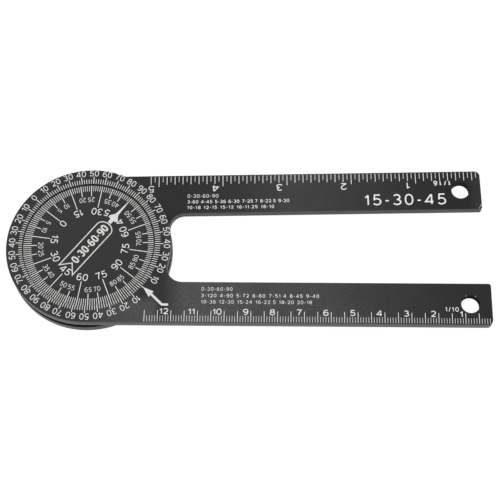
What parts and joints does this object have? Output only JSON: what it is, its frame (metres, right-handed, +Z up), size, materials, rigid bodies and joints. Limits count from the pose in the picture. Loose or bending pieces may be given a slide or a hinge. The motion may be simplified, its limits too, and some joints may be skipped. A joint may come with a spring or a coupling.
{
  "type": "miter saw protractor",
  "caption": "Two-arm black anodised aluminium protractor with printed scales: a dial on the lower plate reads against the ring of the upper plate as the arms turn.",
  "frame": {"origin": "pivot axis at the underside of the lower plate, which lies on the bench", "axes": "+X along the inch arm towards its free end, +Y towards that arm's outer edge, +Z up through the dial's face"},
  "size_m": [0.1848, 0.0668, 0.0093],
  "materials": {
    "arm_anodised": "black anodised, satin, fine brushed grain",
    "dial_anodised": "black anodised, matte",
    "washer_acetal": "black acetal",
    "spring_steel": "rolled spring strip",
    "screw_steel": "zinc plated steel"
  },
  "bodies": {
    "inch_arm": {"inch_arm_plate": "arm_anodised", "dial": "dial_anodised", "slip_washer": "washer_acetal", "lower_thrust_washer": "washer_acetal", "wave_spring": "spring_steel", "upper_thrust_washer": "washer_acetal", "dial_screw_1": "screw_steel", "dial_screw_2": "screw_steel", "dial_screw_3": "screw_steel", "dial_screw_4": "screw_steel"},
    "cm_arm": {"cm_arm_plate": "arm_anodised"}
  },
  "joints": [
    {"name": "arm_pivot", "type": "hinge", "parent": "inch_arm", "child": "cm_arm", "pos_m": [0, 0, 0], "axis": [0, 0, 1], "continuous": true}
  ]
}
